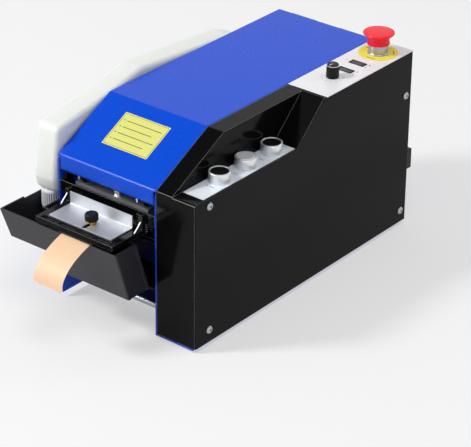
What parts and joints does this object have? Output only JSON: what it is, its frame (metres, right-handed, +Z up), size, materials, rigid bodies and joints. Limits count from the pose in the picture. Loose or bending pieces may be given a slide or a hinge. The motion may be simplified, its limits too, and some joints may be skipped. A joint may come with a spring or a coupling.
{
  "type": "gummed tape dispenser",
  "caption": "Electric counter dispenser for gummed paper tape: hinged tape bay, push-button housing, rollers, cutter, water tray with brushes, and a side water bottle.",
  "frame": {"origin": "middle of the machine's box, on the floor under its feet", "axes": "+X towards the push-button housing, +Y towards the back, +Z up"},
  "size_m": [0.265, 0.5698, 0.284],
  "materials": {
    "blue_paint": "gloss blue powder coat on steel sheet",
    "black_paint": "satin black powder coat on steel sheet",
    "zinc_steel": "zinc-plated steel",
    "bright_steel": "polished steel",
    "aluminium": "turned aluminium",
    "white_plate": "white laminated label plate",
    "black_plastic": "moulded black plastic",
    "black_gloss": "gloss black plastic",
    "grey_switch": "dark grey plastic",
    "red_plastic": "gloss red plastic",
    "tray_plastic": "moulded dark grey plastic",
    "bottle_plastic": "milky translucent plastic",
    "cap_plastic": "light grey plastic",
    "rubber": "black rubber",
    "gummed_paper": "gummed paper tape",
    "cardboard": "wound cardboard",
    "brass": "turned brass",
    "bronze": "sintered bronze",
    "circuit_board": "green circuit board with parts",
    "transformer": "steel plate and laminations",
    "copper_coil": "wound coil in tape",
    "bristles": "bristle rows in a holder"
  },
  "bodies": {
    "chassis": {"base_plate": "zinc_steel", "left_side_plate": "blue_paint", "housing_chassis": "blue_paint", "rear_panel": "blue_paint", "housing_cover": "black_paint", "housing_side_panel": "black_paint", "panel_screws": "zinc_steel", "control_plate": "white_plate", "button_label_plate": "white_plate", "feet": "rubber", "hinge_leaves": "zinc_steel", "button_rings": "aluminium", "button_springs": "zinc_steel", "potentiometer": "zinc_steel", "rocker_housings": "black_plastic", "stop_collar": "aluminium", "stop_contact_block": "black_plastic", "power_inlet": "black_plastic", "fuse_holder": "black_plastic", "control_board": "circuit_board", "power_supply": "transformer", "roll_cradle": "zinc_steel", "tape_web": "gummed_paper", "cross_rods": "zinc_steel", "shaft_bearings": "bronze", "drive_motor": "zinc_steel", "drive_belt": "rubber", "cutter_frame": "black_paint", "fixed_blade": "bright_steel", "cutter_solenoid": "copper_coil", "blade_springs": "zinc_steel", "feed_frame": "black_paint", "brackets": "black_paint"},
    "lid": {"lid": "blue_paint", "lid_fittings": "zinc_steel"},
    "start_button": {"start_button": "black_gloss"},
    "repeat_button": {"repeat_button": "bright_steel"},
    "reverse_button": {"reverse_button": "black_gloss"},
    "length_knob": {"length_knob": "black_plastic"},
    "rocker_front": {"rocker_front": "grey_switch"},
    "rocker_rear": {"rocker_rear": "grey_switch"},
    "stop_stem": {"stop_stem": "zinc_steel"},
    "stop_head": {"stop_head": "red_plastic"},
    "tape_roll": {"tape_roll": "gummed_paper", "tape_core": "cardboard"},
    "cradle_roller_front": {"cradle_roller_front": "zinc_steel"},
    "cradle_roller_rear": {"cradle_roller_rear": "zinc_steel"},
    "feed_roller": {"feed_roller": "rubber"},
    "pressure_arms": {"pressure_arms": "zinc_steel"},
    "pressure_roller": {"pressure_roller": "rubber"},
    "motor_pulley": {"motor_pulley": "aluminium"},
    "cutter": {"moving_blade": "bright_steel"},
    "feed_plate": {"feed_plate": "bright_steel"},
    "thumb_screw": {"thumb_screw": "brass"},
    "water_tray": {"water_tray": "tray_plastic", "brushes": "bristles", "tape_strip": "gummed_paper"},
    "bottle": {"water_bottle": "bottle_plastic", "bottle_cap": "cap_plastic"}
  },
  "joints": [
    {"name": "lid_hinge", "type": "hinge", "parent": "chassis", "child": "lid", "pos_m": [-0.0115, 0.2741, 0.2488], "axis": [-1, 0, 0], "range_deg": [0, 100]},
    {"name": "start_press", "type": "slide", "parent": "chassis", "child": "start_button", "axis": [0, 0, -1], "range_m": [0, 0.003], "stiffness_N_per_m": 600, "springref_m": -0.003, "deforming": ["button_springs"]},
    {"name": "repeat_press", "type": "slide", "parent": "chassis", "child": "repeat_button", "axis": [0, 0, -1], "range_m": [0, 0.003], "stiffness_N_per_m": 600, "springref_m": -0.003},
    {"name": "reverse_press", "type": "slide", "parent": "chassis", "child": "reverse_button", "axis": [0, 0, -1], "range_m": [0, 0.003], "stiffness_N_per_m": 600, "springref_m": -0.003},
    {"name": "length_turn", "type": "hinge", "parent": "chassis", "child": "length_knob", "pos_m": [0.0985, 0.1369, 0.263], "axis": [0, 0, 1], "range_deg": [-135, 135]},
    {"name": "rocker_front_tilt", "type": "hinge", "parent": "chassis", "child": "rocker_front", "pos_m": [0.0985, 0.1644, 0.2535], "axis": [0, 1, 0], "range_deg": [-8, 8]},
    {"name": "rocker_rear_tilt", "type": "hinge", "parent": "chassis", "child": "rocker_rear", "pos_m": [0.0985, 0.1914, 0.2535], "axis": [0, 1, 0], "range_deg": [-8, 8]},
    {"name": "stop_press", "type": "slide", "parent": "chassis", "child": "stop_stem", "axis": [0, 0, -1], "range_m": [0, 0.004], "stiffness_N_per_m": 800, "springref_m": -0.004},
    {"name": "stop_turn", "type": "hinge", "parent": "stop_stem", "child": "stop_head", "pos_m": [0.0985, 0.2359, 0.273], "axis": [0, 0, 1], "range_deg": [0, 45]},
    {"name": "feed_spin", "type": "hinge", "parent": "chassis", "child": "feed_roller", "pos_m": [-0.0065, -0.1011, 0.1237], "axis": [1, 0, 0], "continuous": true},
    {"name": "motor_spin", "type": "hinge", "parent": "chassis", "child": "motor_pulley", "pos_m": [0.0895, -0.0361, 0.061], "axis": [1, 0, 0], "continuous": true},
    {"name": "roll_spin", "type": "hinge", "parent": "chassis", "child": "tape_roll", "pos_m": [-0.0065, 0.1489, 0.10963], "axis": [1, 0, 0], "continuous": true},
    {"name": "cradle_front_spin", "type": "hinge", "parent": "chassis", "child": "cradle_roller_front", "pos_m": [-0.0065, 0.0989, 0.025], "axis": [1, 0, 0], "continuous": true},
    {"name": "cradle_rear_spin", "type": "hinge", "parent": "chassis", "child": "cradle_roller_rear", "pos_m": [-0.0065, 0.1989, 0.025], "axis": [1, 0, 0], "continuous": true},
    {"name": "arms_lift", "type": "hinge", "parent": "chassis", "child": "pressure_arms", "pos_m": [-0.0065, -0.0591, 0.168], "axis": [-1, 0, 0], "range_deg": [0, 20], "stiffness_Nm_per_rad": 0.5, "springref_deg": -20.05},
    {"name": "pressure_spin", "type": "hinge", "parent": "pressure_arms", "child": "pressure_roller", "pos_m": [-0.0065, -0.1011, 0.1497], "axis": [1, 0, 0], "continuous": true},
    {"name": "cutter_stroke", "type": "slide", "parent": "chassis", "child": "cutter", "axis": [0, 0, -1], "range_m": [0, 0.006], "stiffness_N_per_m": 1500, "springref_m": -0.008, "deforming": ["blade_springs"]},
    {"name": "feed_plate_slide", "type": "slide", "parent": "chassis", "child": "feed_plate", "axis": [0, 1, 0], "range_m": [0, 0.005]},
    {"name": "thumb_screw_turn", "type": "hinge", "parent": "chassis", "child": "thumb_screw", "pos_m": [-0.0065, -0.2041, 0.153], "axis": [0, 0, 1], "range_deg": [0, 180]},
    {"name": "tray_slide", "type": "slide", "parent": "chassis", "child": "water_tray", "axis": [0, -1, 0], "range_m": [0, 0.07]},
    {"name": "bottle_lift", "type": "slide", "parent": "water_tray", "child": "bottle", "axis": [0, 0, 1], "range_m": [0, 0.06]}
  ],
  "couplings": [
    {"joint": "motor_spin", "follows": "feed_spin", "ratio": 2},
    {"joint": "roll_spin", "follows": "feed_spin", "ratio": 0.16667},
    {"joint": "cradle_front_spin", "follows": "feed_spin", "ratio": -1.875},
    {"joint": "cradle_rear_spin", "follows": "feed_spin", "ratio": -1.875},
    {"joint": "pressure_spin", "follows": "feed_spin", "ratio": -1.5}
  ]
}
